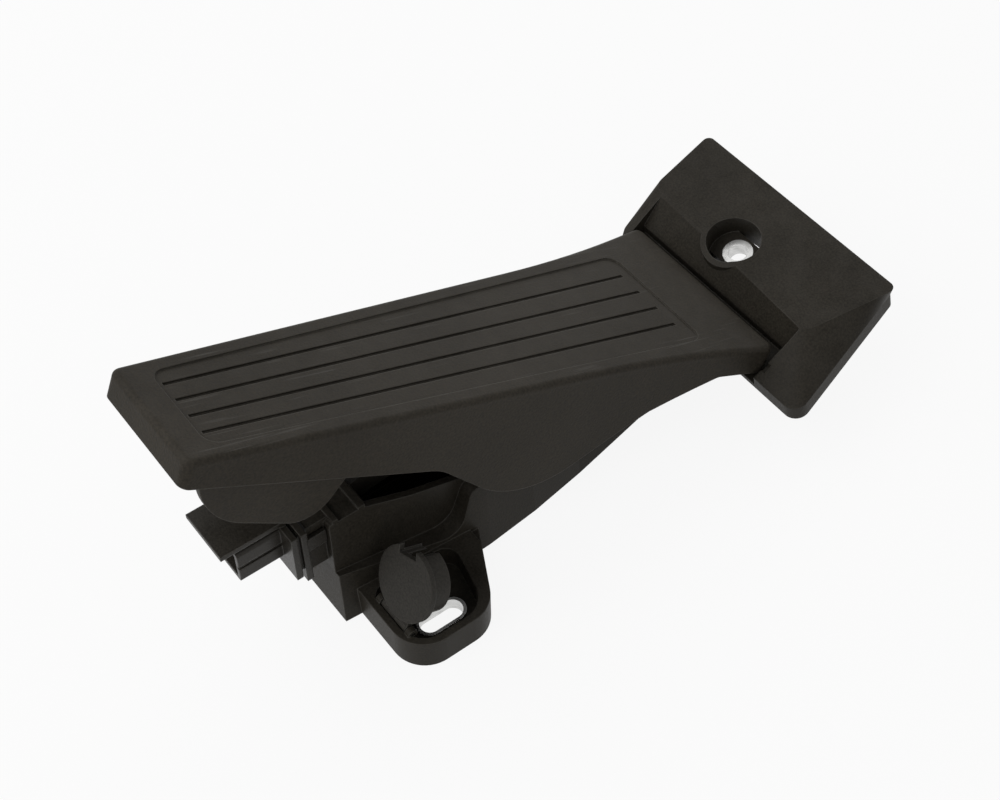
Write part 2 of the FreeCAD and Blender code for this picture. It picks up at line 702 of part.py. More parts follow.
def base_plan(inset, low, high):
    """Drafted block of the tub's and housing's plan, from the heel to the housing's front."""
    wires = []
    for z in (low, high):
        lean = inset + z * rise(BASE_DRAFT)
        half = [
            (TUB_HEEL_HALF - lean, 0, 0),
            (TUB_NECK_HALF - lean, TUB_NECK_Y, 0),
            (TUB_BEND_HALF - lean, FLOOR_BEND_Y, 0),
            (TUB_SHOULDER_HALF - lean, TUB_SHOULDER_Y, 0),
            (TUB_WIDE_HALF - lean, TUB_WIDE_Y, TUB_WIDE_RADIUS),
            (HOUSING_FOOT_HALF - lean, HOUSING_FRONT + FOOT_REACH - inset, 0),
        ]
        other = [(-x, y, r) for x, y, r in reversed(half)]
        wires.append(outline(half + other, lambda p: V(p.x, p.y, z)))
    return Part.makeLoft(wires, True, True)


def tub():
    """Spine tub: floor bent like the car's, drafted side walls, bulkhead before the housing."""
    outer = base_plan(0, 0, 2 * HOUSING_TOP)
    profile = across([
        (0, floor_z(0), 0),
        (FLOOR_BEND_Y, 0, 0),
        (HOUSING_FRONT + FOOT_REACH, 0, 0),
        (HOUSING_FRONT, LEDGE_FRONT_Z, 0),
        (LEDGE_BACK_Y, LEDGE_BACK_Z, LEDGE_RADIUS),
        (SHOULDER_Y, TUB_WALL_TOP, SHOULDER_RADIUS),
        (FLOOR_BEND_Y, TUB_WALL_TOP, 0),
        (TUB_WALL_START, TUB_WALL_HEEL_TOP, 0),
        (TUB_WALL_START, floor_z(TUB_WALL_START) + BASE_WALL, 0),
        (0, floor_z(0) + BASE_WALL, 0),
    ], -AMPLE, AMPLE)
    inner = base_plan(BASE_WALL, 0, 2 * HOUSING_TOP)
    room = across([
        (TUB_WALL_START - BASE_WALL, floor_z(TUB_WALL_START - BASE_WALL) + BASE_WALL, 0),
        (FLOOR_BEND_Y, BASE_WALL, 0),
        (BULKHEAD_Y - BASE_WALL, BASE_WALL, 0),
        (BULKHEAD_Y - BASE_WALL, 2 * HOUSING_TOP, 0),
        (TUB_WALL_START - BASE_WALL, 2 * HOUSING_TOP, 0),
    ], -AMPLE, AMPLE)
    body = outer.common(profile).cut(inner.common(room))
    return body.cut(housing_cores(inner))


def housing_cores(inner):
    """Pockets cored from below, either side of the housing's own cavity, so that no wall is thick."""
    pocket = across([
        (BULKHEAD_Y + BASE_WALL, -BASE_WALL, 0),
        (HOUSING_FRONT - BASE_WALL, -BASE_WALL, 0),
        (HOUSING_FRONT - BASE_WALL, LEDGE_FRONT_Z - BASE_WALL, 0),
        (LEDGE_BACK_Y, LEDGE_BACK_Z - BASE_WALL, 0),
        (SHOULDER_Y - BASE_WALL, TUB_WALL_TOP - BASE_WALL, 0),
        (BULKHEAD_Y + BASE_WALL, TUB_WALL_TOP - BASE_WALL, 0),
    ], HOUSING_HALF, AMPLE)
    low = base_plan(BASE_WALL, -BASE_WALL, HOUSING_TOP)
    web = box(HOUSING_HALF, AMPLE, EAR_BOLT_Y - BASE_WALL / 2, EAR_BOLT_Y + BASE_WALL / 2,
              -BASE_WALL, HOUSING_TOP)
    return both_sides(pocket.common(low).cut(web))


def housing():
    """Narrow upper housing that the treadle's cheeks pass on either side."""
    body = across([
        (BULKHEAD_Y - BASE_WALL, 0, 0),
        (HOUSING_FRONT, 0, 0),
        (HOUSING_FRONT, HOUSING_TOP, HOUSING_FRONT_RADIUS),
        (HOUSING_TOP_START, HOUSING_TOP, HOUSING_TOP_RADIUS),
        (HOUSING_SHOULDER_Y, HOUSING_SHOULDER_Z, HOUSING_SHOULDER_RADIUS),
        (HOUSING_BACK_Y, HOUSING_BACK_Z, 0),
        (BULKHEAD_Y - BASE_WALL, TUB_WALL_TOP - BASE_WALL, 0),
    ], -HOUSING_HALF, HOUSING_HALF)
    rib_back = HOUSING_FRONT - HOUSING_RIB_AT
    rib = box(-HOUSING_HALF, HOUSING_HALF, rib_back, rib_back + HOUSING_RIB_WIDTH,
              HOUSING_TOP - BASE_WALL, HOUSING_TOP + HOUSING_RIB)
    ridge_back = HOUSING_TOP_START - HOUSING_RIDGE_AT
    ridge = box(-HOUSING_HALF, HOUSING_HALF, ridge_back, ridge_back + HOUSING_RIDGE_WIDTH,
                HOUSING_TOP - BASE_WALL, HOUSING_TOP + HOUSING_RIB / 2)
    collar = box(-COLLAR_HALF, COLLAR_HALF, HOUSING_FRONT - BASE_WALL, COLLAR_END, COLLAR_LOW, COLLAR_HIGH)
    return fused([body, rib, ridge, collar])


def housing_room():
    """Cavity for rotor and lever, open at the top for the drive legs and at the front into the collar."""
    inner = HOUSING_HALF - BASE_WALL
    cavity = across([
        (BULKHEAD_Y, BASE_WALL, 0),
        (HOUSING_FRONT - BASE_WALL, BASE_WALL, 0),
        (HOUSING_FRONT - BASE_WALL, HOUSING_TOP - BASE_WALL, 0),
        (HOUSING_TOP_START - BASE_WALL, HOUSING_TOP - BASE_WALL, 0),
        (HOUSING_TOP_START - BASE_WALL, 2 * HOUSING_TOP, 0),
        (BULKHEAD_Y, 2 * HOUSING_TOP, 0),
    ], -inner, inner)
    half = COLLAR_HALF - COLLAR_WALL
    window = box(-half, half, HOUSING_FRONT - 2 * BASE_WALL, COVER_BACK,
                 COLLAR_LOW + COLLAR_WALL, COLLAR_HIGH - COLLAR_WALL)
    return [cavity, window]


def rotor_bosses():
    """Bosses inside the housing walls that hold the rotor's bushes."""
    radius = ROTOR_BUSH_RADIUS + ROTOR_BOSS_WALL
    boss = cross_rod(radius, ROTOR, ROTOR_BUSH_INNER, HOUSING_HALF - BASE_WALL / 2)
    return both_sides(boss)


def hinge_lugs():
    """Three upright lugs in the heel recess that carry the hinge pin."""
    pin = HEEL_FRAME.inverse().multVec(HINGE)
    lugs = []
    for inner, outer in lug_spans():
        shape = across([
            (pin.y - LUG_RADIUS, 0, 0),
            (pin.y + LUG_RADIUS, 0, 0),
            (pin.y + LUG_RADIUS, pin.z + LUG_RADIUS, LUG_RADIUS * 0.98),
            (pin.y - LUG_RADIUS, pin.z + LUG_RADIUS, LUG_RADIUS * 0.98),
        ], inner, outer)
        lugs.append(placed(shape, HEEL_FRAME))
    return lugs


def ear():
    """Side ear: a walled well over the slotted bush, braced toward the heel, with the cap's knuckles."""
    flare = (EAR_OUTER - HOUSING_HALF) * rise(EAR_FLARE)
    body = upright([
        (-EAR_OUTER, EAR_HEEL_SIDE, EAR_CORNER),
        (-HOUSING_HALF, EAR_HEEL_SIDE - flare, 0),
        (-HOUSING_HALF, EAR_TIP_SIDE, 0),
        (-EAR_OUTER, EAR_TIP_SIDE, EAR_CORNER),
    ], 0, EAR_HEIGHT)
    well = upright([
        (-EAR_OUTER + EAR_WALL, WELL_HEEL_OUTER, EAR_CORNER - EAR_WALL),
        (-WELL_INNER, WELL_HEEL_INNER, WELL_CORNER),
        (-WELL_INNER, EAR_TIP_SIDE - EAR_WALL, WELL_CORNER),
        (-EAR_OUTER + EAR_WALL, EAR_TIP_SIDE - EAR_WALL, EAR_CORNER - EAR_WALL),
    ], EAR_FLOOR, EAR_HEIGHT)
    lobe_room = box(-PAD_WAIST_HALF - SIDE_GAP, 0, 0, SHOULDER_Y + BASE_WALL,
                    EAR_HEIGHT - LOBE_ROOM, EAR_HEIGHT)
    pieces = [body.cut([well, lobe_room])]
    for side in (-1, 1):
        inner = CAP_X + side * (CAP_HINGE_HALF + SIDE_GAP)
        outer = inner + side * CAP_KNUCKLE_WIDTH
        low = min(inner, outer)
        high = max(inner, outer)
        pieces.append(cross_rod(CAP_KNUCKLE_RADIUS, CAP_HINGE, low, high))
        pieces.append(box(low, high, CAP_HINGE.y, EAR_TIP_SIDE - EAR_WALL / 2,
                          EAR_HEIGHT - CAP_KNUCKLE_RADIUS, EAR_HEIGHT))
    return fused(pieces)


def ear_cuts():
    bush = obround(EAR_BOLT_X, EAR_BOLT_Y, SLOT_WIDTH + 2 * (EAR_BUSH_WALL + PRESS_FIT),
                   SLOT_LENGTH + 2 * (EAR_BUSH_WALL + PRESS_FIT), -EAR_FLOOR, EAR_BUSH_HEIGHT)
    pivot_half = CAP_HINGE_HALF + SIDE_GAP + CAP_KNUCKLE_WIDTH
    pivot = cross_rod(CAP_HINGE_RADIUS + RUN_FIT, CAP_HINGE, CAP_X - pivot_half, CAP_X + pivot_half)
    return [bush, pivot]


def base_frame():
    pieces = [heel_block(), tub()]
    pieces += hinge_lugs()
    body = fused(pieces)
    body = fused([body, housing()]).cut(housing_room())
    body = fused([body] + rotor_bosses() + [ear()])
    cuts = ear_cuts()
    cuts.append(cross_rod(HINGE_PIN_RADIUS + PRESS_FIT, HINGE, -AMPLE / 2, AMPLE / 2))
    cuts.append(cross_rod(ROTOR_BUSH_RADIUS + PRESS_FIT, ROTOR, -ROTOR_BUSH_OUTER, ROTOR_BUSH_OUTER))
    return body.cut(cuts)


def heel_bush():
    axis = V(HEEL_BUSH_X, 0, 0)
    top = V(HEEL_BUSH_X, 0, HEEL_BUSH_LENGTH)
    sleeve = rod(HEEL_BUSH_RADIUS, axis, top).cut(rod(HEEL_BUSH_BORE, axis, top))
    return placed(sleeve, HEEL_FRAME)


def ear_bush():
    outer = obround(EAR_BOLT_X, EAR_BOLT_Y, SLOT_WIDTH + 2 * EAR_BUSH_WALL, SLOT_LENGTH + 2 * EAR_BUSH_WALL,
                    0, EAR_BUSH_HEIGHT)
    return outer.cut(obround(EAR_BOLT_X, EAR_BOLT_Y, SLOT_WIDTH, SLOT_LENGTH, 0, EAR_BUSH_HEIGHT))


def lower_spring_seat():
    """Seat that stands on the tub's floor, with a rim round the outer spring."""
    foot = V(0, SPRING_Y, SPRING_FOOT)
    rim = foot + V(0, 0, SPRING_SEAT_LIP)
    body = rod(SPRING_CUP_RADIUS, V(0, SPRING_Y, 0), rim)
    floor = across([
        (0, -AMPLE, 0),
        (HOUSING_FRONT, -AMPLE, 0),
        (HOUSING_FRONT, BASE_WALL, 0),
        (FLOOR_BEND_Y, BASE_WALL, 0),
        (0, floor_z(0) + BASE_WALL, 0),
    ], -AMPLE, AMPLE)
    return body.cut([floor, rod(SPRING_LIP_RADIUS, foot, rim)])


def coil(radius, wire, turns):
    """Compression spring with closed end turns, in short straight stretches of six-sided wire."""
    height = SPRING_LENGTH - 2 * wire
    closed = SPRING_END_PITCH * wire
    rings = []
    for i in range(turns * SPRING_STEPS + 1):
        turn = i / SPRING_STEPS
        climb = closed + (height - 2 * closed) * (turn - 1) / (turns - 2)
        if turn < 1:
            climb = closed * turn
        elif turn > turns - 1:
            climb = height - closed * (turns - turn)
        angle = 2 * math.pi * turn
        out = V(math.cos(angle), math.sin(angle), 0)
        middle = out * radius + V(0, SPRING_Y, SPRING_FOOT + wire + climb)
        points = []
        for k in range(SPRING_SIDES):
            side = 2 * math.pi * k / SPRING_SIDES
            points.append(middle + out * (wire * math.cos(side)) + V(0, 0, wire * math.sin(side)))
        rings.append(Part.makePolygon(points + points[:1]))
    return Part.makeLoft(rings, True, True)


def travel_stop():
    """Rubber button on the housing's top, under the treadle's stop post."""
    return rod(STOP_RADIUS, V(0, STOP_Y, HOUSING_TOP), V(0, STOP_Y, HOUSING_TOP + STOP_HEIGHT))


# Sensor


def magnet_block(clearance):
    """Arc magnet in the rotor's front face."""
    radius = ROTOR_RADIUS - MAGNET_DEPTH - clearance
    half = MAGNET_HALF + clearance
    ring = cross_rod(ROTOR_RADIUS, ROTOR, -half, half).cut(cross_rod(radius, ROTOR, -half, half))
    spread = ROTOR_RADIUS * 2
    wide = spread * math.sin(math.radians(MAGNET_HALF_ANGLE)) + clearance
    deep = spread * math.cos(math.radians(MAGNET_HALF_ANGLE))
    wedge = across([
        (ROTOR.y - clearance, ROTOR.z, 0),
        (ROTOR.y + deep, ROTOR.z - wide, 0),
        (ROTOR.y + spread, ROTOR.z - wide, 0),
        (ROTOR.y + spread, ROTOR.z + wide, 0),
        (ROTOR.y + deep, ROTOR.z + wide, 0),
    ], -half, half)
    return ring.common(wedge)


def rotor_lever():
    """Rotor drum with its arm and open fork, built level and turned to meet the drive pin at rest."""
    slot = DRIVE_PIN_RADIUS + DRIVE_SLACK
    prong = slot + FORK_PRONG
    root = ROTOR.y - LEVER_LENGTH + FORK_IN
    tip = ROTOR.y - LEVER_LENGTH - FORK_OUT
    drum = cross_rod(ROTOR_RADIUS, ROTOR, -ROTOR_HALF, ROTOR_HALF)
    arm = across([
        (ROTOR.y, ROTOR.z - LEVER_DEPTH / 2, 0),
        (ROTOR.y, ROTOR.z + LEVER_DEPTH / 2, 0),
        (root + slot, ROTOR.z + prong, FORK_ROOT_RADIUS),
        (tip, ROTOR.z + prong, FORK_TIP_RADIUS),
        (tip, ROTOR.z - prong, FORK_TIP_RADIUS),
        (root + slot, ROTOR.z - prong, FORK_ROOT_RADIUS),
    ], -LEVER_HALF, LEVER_HALF)
    gap = across([
        (root, ROTOR.z - slot, slot * 0.95),
        (root, ROTOR.z + slot, slot * 0.95),
        (tip - slot, ROTOR.z + slot, 0),
        (tip - slot, ROTOR.z - slot, 0),
    ], -ROTOR_HALF, ROTOR_HALF)
    lever = fused([drum, turned(arm.cut(gap), ROTOR, -LEVER_RISE)])
    bore = cross_rod(ROTOR_SHAFT_RADIUS + PRESS_FIT, ROTOR, -ROTOR_HALF, ROTOR_HALF)
    return lever.cut([bore, magnet_block(PRESS_FIT)])


def rotor_shaft():
    reach = ROTOR_BUSH_OUTER - SIDE_GAP
    return cross_rod(ROTOR_SHAFT_RADIUS, ROTOR, -reach, reach)


def rotor_bushes():
    sleeve = cross_rod(ROTOR_BUSH_RADIUS, ROTOR, ROTOR_BUSH_INNER, ROTOR_BUSH_OUTER)
    bore = cross_rod(ROTOR_SHAFT_RADIUS + RUN_FIT, ROTOR, 0, ROTOR_BUSH_OUTER)
    return Part.Compound(both_sides(sleeve.cut(bore)))


def frame_ring(half, low, high, wall, back, front):
    outer = box(-half, half, back, front, low, high)
    return outer.cut(box(-half + wall, half - wall, back, front, low + wall, high - wall))


def cover_seal():
    return frame_ring(COLLAR_HALF, COLLAR_LOW, COLLAR_HIGH, COLLAR_WALL, COLLAR_END, COVER_BACK)


def circuit_board():
    return box(-BOARD_HALF, BOARD_HALF, BOARD_BACK - BOARD_THICK, BOARD_BACK, BOARD_LOW, BOARD_HIGH)


def hall_sensors():
    face = BOARD_BACK - BOARD_THICK
    half = CHIP_SIDE / 2
    chips = []
    for x in (-CHIP_PITCH / 2, CHIP_PITCH / 2):
        chips.append(box(x - half, x + half, face - CHIP_THICK, face, ROTOR_Z - half, ROTOR_Z + half))
    return Part.Compound(chips)


def board_capacitors():
    face = BOARD_BACK - BOARD_THICK
    half = CAPACITOR_LENGTH / 2
    high = BOARD_HIGH - CAPACITOR_INSET
    chips = []
    for i in range(TERMINAL_COLUMNS + 1):
        x = (i - TERMINAL_COLUMNS / 2) * TERMINAL_PITCH
        chips.append(box(x - half, x + half, face - CAPACITOR_HEIGHT, face, high - CAPACITOR_WIDTH, high))
    return Part.Compound(chips)


def terminal_places():
    middle = (SOCKET_LOW + SOCKET_HIGH) / 2
    for row in range(TERMINAL_ROWS):
        for column in range(TERMINAL_COLUMNS):
            x = (column - (TERMINAL_COLUMNS - 1) / 2) * TERMINAL_PITCH
            yield x, middle + (row - (TERMINAL_ROWS - 1) / 2) * TERMINAL_PITCH


def terminal(x, z, grow):
    half = TERMINAL_SIDE / 2 + grow
    return box(x - half, x + half, BOARD_BACK, COVER_FRONT + TERMINAL_REACH, z - half, z + half)


def connector_terminals():
    return Part.Compound([terminal(x, z, 0) for x, z in terminal_places()])


def sensor_cover():
    """Clip-on cover: two flange plates with a groove between them, socket and roof plate in front."""
    back_plate = box(-COVER_HALF, COVER_HALF, COVER_BACK, COVER_BACK + COVER_PLATE,
                     COVER_INNER_LOW, COVER_HIGH)
    neck = box(-COVER_HALF + COVER_NECK_INSET, COVER_HALF - COVER_NECK_INSET, COVER_BACK, COVER_FRONT,
               COVER_LOW + COVER_NECK_INSET, COVER_HIGH - COVER_NECK_INSET)
    front_plate = box(-COVER_HALF, COVER_HALF, COVER_FRONT - COVER_PLATE, COVER_FRONT, COVER_LOW, COVER_HIGH)
    middle = (SOCKET_LOW + SOCKET_HIGH) / 2
    socket = along([
        (-SOCKET_HALF, SOCKET_LOW, SOCKET_CORNER),
        (SOCKET_HALF, SOCKET_LOW, SOCKET_CORNER),
        (SOCKET_HALF, SOCKET_HIGH, SOCKET_CORNER),
        (-SOCKET_HALF, SOCKET_HIGH, SOCKET_CORNER),
    ], COVER_FRONT - COVER_PLATE, COVER_FRONT + SOCKET_LENGTH)
    roof = box(-HOOD_HALF, HOOD_HALF, COVER_FRONT - COVER_PLATE, COVER_FRONT + HOOD_LENGTH,
               HOOD_HIGH - HOOD_THICK, HOOD_HIGH)
    roof_web = box(-SOCKET_WALL / 2, SOCKET_WALL / 2, COVER_FRONT - COVER_PLATE, COVER_FRONT + SOCKET_LENGTH,
                   SOCKET_HIGH - SOCKET_WALL, HOOD_HIGH)
    roof_back = box(-HOOD_HALF, HOOD_HALF, COVER_FRONT - COVER_PLATE, COVER_FRONT,
                    COVER_HIGH - COVER_PLATE, HOOD_HIGH)
    pieces = [back_plate, neck, front_plate, socket, roof, roof_web, roof_back]
    for x in (-BOARD_HALF + POST_INSET, BOARD_HALF - POST_INSET):
        for z in (BOARD_LOW + POST_INSET, BOARD_HIGH - POST_INSET):
            pieces.append(rod(POST_RADIUS, V(x, BOARD_BACK, z), V(x, COVER_BACK + COVER_PLATE, z)))
    clip_inner = COLLAR_HALF + SIDE_GAP
    clip = box(clip_inner, clip_inner + CLIP_THICK, HOUSING_FRONT + SIDE_GAP, COVER_BACK,
               middle - CLIP_WIDTH / 2, middle + CLIP_WIDTH / 2)
    pieces += both_sides(clip)
    cover = fused(pieces)
    cavity = along([
        (-SOCKET_HALF + SOCKET_WALL, SOCKET_LOW + SOCKET_WALL, SOCKET_INNER_CORNER),
        (SOCKET_HALF - SOCKET_WALL, SOCKET_LOW + SOCKET_WALL, SOCKET_INNER_CORNER),
        (SOCKET_HALF - SOCKET_WALL, SOCKET_HIGH - SOCKET_WALL, SOCKET_INNER_CORNER),
        (-SOCKET_HALF + SOCKET_WALL, SOCKET_HIGH - SOCKET_WALL, SOCKET_INNER_CORNER),
    ], COVER_FRONT - COVER_PLATE + SOCKET_BACK, COVER_FRONT + SOCKET_LENGTH)
    groove = box(SOCKET_HALF - SOCKET_WALL / 2, AMPLE, COVER_FRONT, COVER_FRONT + SOCKET_LENGTH,
                 middle - SOCKET_WALL / 2, middle + SOCKET_WALL / 2)
    cuts = [cavity] + both_sides(groove)
    cuts += [terminal(x, z, PRESS_FIT) for x, z in terminal_places()]
    return cover.cut(cuts)


# Bolt cap


def bolt_cap():
    """Round lid with a plug skirt and a finger notch, hinged on the ear's tip-side wall; saved open."""
    centre = V(CAP_X, CAP_HINGE.y - CAP_REACH, EAR_HEIGHT + SIDE_GAP)
    top = centre + V(0, 0, CAP_THICK)
    lid = rod(CAP_RADIUS, centre, top)
    plug = rod(CAP_PLUG_RADIUS, centre - V(0, 0, CAP_PLUG_DEPTH), centre)
    plug = plug.cut(rod(CAP_PLUG_RADIUS - CAP_PLUG_WALL, centre - V(0, 0, CAP_PLUG_DEPTH), centre))
    notch_end = centre.y - CAP_RADIUS + CAP_NOTCH_DEPTH
    notch = box(CAP_X - CAP_NOTCH_HALF, CAP_X + CAP_NOTCH_HALF, notch_end - 2 * CAP_NOTCH_DEPTH, notch_end,
                centre.z - CAP_PLUG_DEPTH, top.z)
    notch.rotate(centre, V(0, 0, 1), CAP_NOTCH_TURN)
    tab = across([
        (CAP_HINGE.y, CAP_HINGE.z - CAP_HINGE_RADIUS, 0),
        (CAP_HINGE.y, CAP_HINGE.z + CAP_HINGE_RADIUS, 0),
        (centre.y + CAP_RADIUS / 2, top.z, 0),
        (centre.y + CAP_RADIUS / 2, centre.z, 0),
    ], CAP_X - CAP_HINGE_HALF, CAP_X + CAP_HINGE_HALF)
    eye = cross_rod(CAP_EYE_RADIUS, CAP_HINGE, CAP_X - CAP_HINGE_HALF, CAP_X + CAP_HINGE_HALF)
    trunnion = CAP_HINGE_HALF + CAP_KNUCKLE_WIDTH
    pivot = cross_rod(CAP_HINGE_RADIUS, CAP_HINGE, CAP_X - trunnion, CAP_X + trunnion)
    cap = fused([lid, plug, tab, eye, pivot]).cut(notch)
    return turned(cap, CAP_HINGE, -CAP_OPEN)


save("pedal_pad", pedal_pad())
save("hinge_pin", hinge_pin())
save("hinge_bushes", hinge_bushes())
save("drive_pin", drive_pin())
save("upper_spring_cup", upper_spring_cup())
save("base_frame", base_frame())
save("heel_bush", heel_bush())
save("ear_bush", ear_bush())
save("lower_spring_seat", lower_spring_seat())
save("return_spring_outer", coil(SPRING_OUTER_RADIUS, SPRING_OUTER_WIRE, SPRING_OUTER_TURNS))
save("return_spring_inner", coil(SPRING_INNER_RADIUS, SPRING_INNER_WIRE, SPRING_INNER_TURNS))
save("travel_stop", travel_stop())
save("rotor_lever", rotor_lever())
save("rotor_shaft", rotor_shaft())
save("rotor_bushes", rotor_bushes())
save("rotor_magnet", magnet_block(0))
save("cover_seal", cover_seal())
save("circuit_board", circuit_board())
save("hall_sensors", hall_sensors())
save("board_capacitors", board_capacitors())
save("connector_terminals", connector_terminals())
save("sensor_cover", sensor_cover())
save("bolt_cap", bolt_cap())
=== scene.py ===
import bpy
import math
from mathutils import Matrix, Vector


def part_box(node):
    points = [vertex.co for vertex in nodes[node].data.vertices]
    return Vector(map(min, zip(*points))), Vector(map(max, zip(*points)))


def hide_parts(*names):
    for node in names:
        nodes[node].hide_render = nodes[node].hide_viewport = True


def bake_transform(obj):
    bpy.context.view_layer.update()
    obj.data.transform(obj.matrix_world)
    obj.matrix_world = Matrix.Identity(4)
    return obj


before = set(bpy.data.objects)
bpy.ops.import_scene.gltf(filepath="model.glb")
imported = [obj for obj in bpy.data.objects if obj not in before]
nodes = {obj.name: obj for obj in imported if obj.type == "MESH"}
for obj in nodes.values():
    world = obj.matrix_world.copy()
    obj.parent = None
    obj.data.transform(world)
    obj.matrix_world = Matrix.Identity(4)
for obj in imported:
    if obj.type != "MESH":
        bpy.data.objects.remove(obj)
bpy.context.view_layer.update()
bpy.ops.object.select_all(action="DESELECT")

# Base frame. One large moulding in glass-filled nylon, near black: heel block, spine tub, sensor
# housing and side ear. It bolts to the car's floor through two steel sleeves. The mould leaves a fine
# grain, handling leaves dust on the faces that look up, and the edges are painted paler: partly wear, partly
# a painted highlight where they catch the light.


def add(tree, kind, **sockets):
    """A node of that kind with its inputs set by name."""
    node = tree.nodes.new(kind)
    for name, value in sockets.items():
        node.inputs[name].default_value = value
    return node


def feed(tree, socket, value):
    """Sets a socket to a number, or links it to another socket."""
    if isinstance(value, (int, float)):
        socket.default_value = value
    else:
        tree.links.new(value, socket)


def reckon(tree, operation, first, second):
    """Two numbers or sockets taken together by a sum, a product or the like."""
    node = tree.nodes.new("ShaderNodeMath")
    node.operation = operation
    feed(tree, node.inputs[0], first)
    feed(tree, node.inputs[1], second)
    return node.outputs[0]


def spread(tree, value, span, result):
    """Value stretched from one span to another, held at its ends."""
    node = tree.nodes.new("ShaderNodeMapRange")
    tree.links.new(value, node.inputs["Value"])
    for name, number in zip(("From Min", "From Max", "To Min", "To Max"), (*span, *result)):
        node.inputs[name].default_value = number
    return node.outputs["Result"]


def mottle(tree, place, patches, detail):
    """Soft noise with that many patches to the metre."""
    node = add(tree, "ShaderNodeTexNoise", Detail=detail)
    tree.links.new(place, node.inputs["Vector"])
    feed(tree, node.inputs["Scale"], patches)
    return node.outputs["Fac"]


def tinted(tree, share, plain, tint):
    """Plain colour with a share of tint; either is a colour or a socket."""
    node = tree.nodes.new("ShaderNodeMix")
    node.data_type = "RGBA"
    feed(tree, node.inputs["Factor"], share)
    for name, colour in (("A", plain), ("B", tint)):
        if isinstance(colour, tuple):
            node.inputs[name].default_value = (*colour, 1.0)
        else:
            tree.links.new(colour, node.inputs[name])
    return node.outputs["Result"]


def scaled(tree, vector, factor):
    """A vector or colour times a factor."""
    node = tree.nodes.new("ShaderNodeVectorMath")
    node.operation = "SCALE"
    tree.links.new(vector, node.inputs[0])
    feed(tree, node.inputs["Scale"], factor)
    return node.outputs[0]


def effect(name, inputs, outputs):
    """An empty node group with its sockets, and its input and output sockets by name."""
    group = bpy.data.node_groups.new(name, "ShaderNodeTree")
    for direction, sockets in (("INPUT", inputs), ("OUTPUT", outputs)):
        for socket, kind in sockets:
            group.interface.new_socket(name=socket, in_out=direction, socket_type="NodeSocket" + kind)
    return group, group.nodes.new("NodeGroupInput").outputs, group.nodes.new("NodeGroupOutput").inputs


whole = (0.0, 1.0)
noise_middle = (0.3, 0.7)
roughness_play = (-0.07, 0.07)
edge_wear_and_highlight_radius = 0.0006
flow_patches = 26.0
dust_patches = 140.0
dust_colour = (0.16, 0.15, 0.135)
dust_dulling = 0.5
moulded_skin, given, made = effect(
    "moulded_skin",
    (("Shade", "Color"), ("Worn and highlit edge", "Color"), ("Grain size", "Float"), ("Grain depth", "Float"),
     ("Roughness", "Float"), ("Dust", "Float")),
    (("Colour", "Color"), ("Roughness", "Float"), ("Normal", "Vector")))
place = moulded_skin.nodes.new("ShaderNodeTexCoord").outputs["Object"]
surface = moulded_skin.nodes.new("ShaderNodeNewGeometry")
grain = mottle(moulded_skin, place, reckon(moulded_skin, "DIVIDE", 1.0, given["Grain size"]), 2.0)
flow = mottle(moulded_skin, place, flow_patches, 4.0)
rounded = add(moulded_skin, "ShaderNodeBevel", Radius=edge_wear_and_highlight_radius)
rounded.samples = 6
turn = moulded_skin.nodes.new("ShaderNodeVectorMath")
turn.operation = "DOT_PRODUCT"
moulded_skin.links.new(rounded.outputs["Normal"], turn.inputs[0])
moulded_skin.links.new(surface.outputs["True Normal"], turn.inputs[1])
# Paler colour mixed in along the edges found by the bevel: partly real wear, partly a painted highlight where
# rims catch the light.
edge = spread(moulded_skin, turn.outputs["Value"], (0.995, 0.80), whole)
edge = reckon(moulded_skin, "MULTIPLY", edge, spread(moulded_skin, flow, (0.35, 0.65), (0.3, 1.0)))
tone = reckon(moulded_skin, "MULTIPLY", spread(moulded_skin, grain, noise_middle, (0.70, 1.30)),
              spread(moulded_skin, flow, noise_middle, (0.86, 1.14)))
colour = tinted(moulded_skin, edge, scaled(moulded_skin, given["Shade"], tone), given["Worn and highlit edge"])
split = moulded_skin.nodes.new("ShaderNodeSeparateXYZ")
moulded_skin.links.new(surface.outputs["True Normal"], split.inputs[0])
specks = spread(moulded_skin, mottle(moulded_skin, place, dust_patches, 6.0), (0.30, 0.80), whole)
upward = spread(moulded_skin, split.outputs["Z"], (0.3, 1.0), whole)
dust = reckon(moulded_skin, "MULTIPLY", reckon(moulded_skin, "MULTIPLY", upward, specks), given["Dust"])
moulded_skin.links.new(tinted(moulded_skin, dust, colour, dust_colour), made["Colour"])
gloss = reckon(moulded_skin, "ADD", given["Roughness"],
               spread(moulded_skin, grain, noise_middle, roughness_play))
dulled = reckon(moulded_skin, "ADD", gloss, reckon(moulded_skin, "MULTIPLY", dust, dust_dulling))
moulded_skin.links.new(dulled, made["Roughness"])
bump = add(moulded_skin, "ShaderNodeBump", Strength=0.6)
moulded_skin.links.new(grain, bump.inputs["Height"])
moulded_skin.links.new(given["Grain depth"], bump.inputs["Distance"])
moulded_skin.links.new(rounded.outputs["Normal"], bump.inputs["Normal"])
moulded_skin.links.new(bump.outputs["Normal"], made["Normal"])


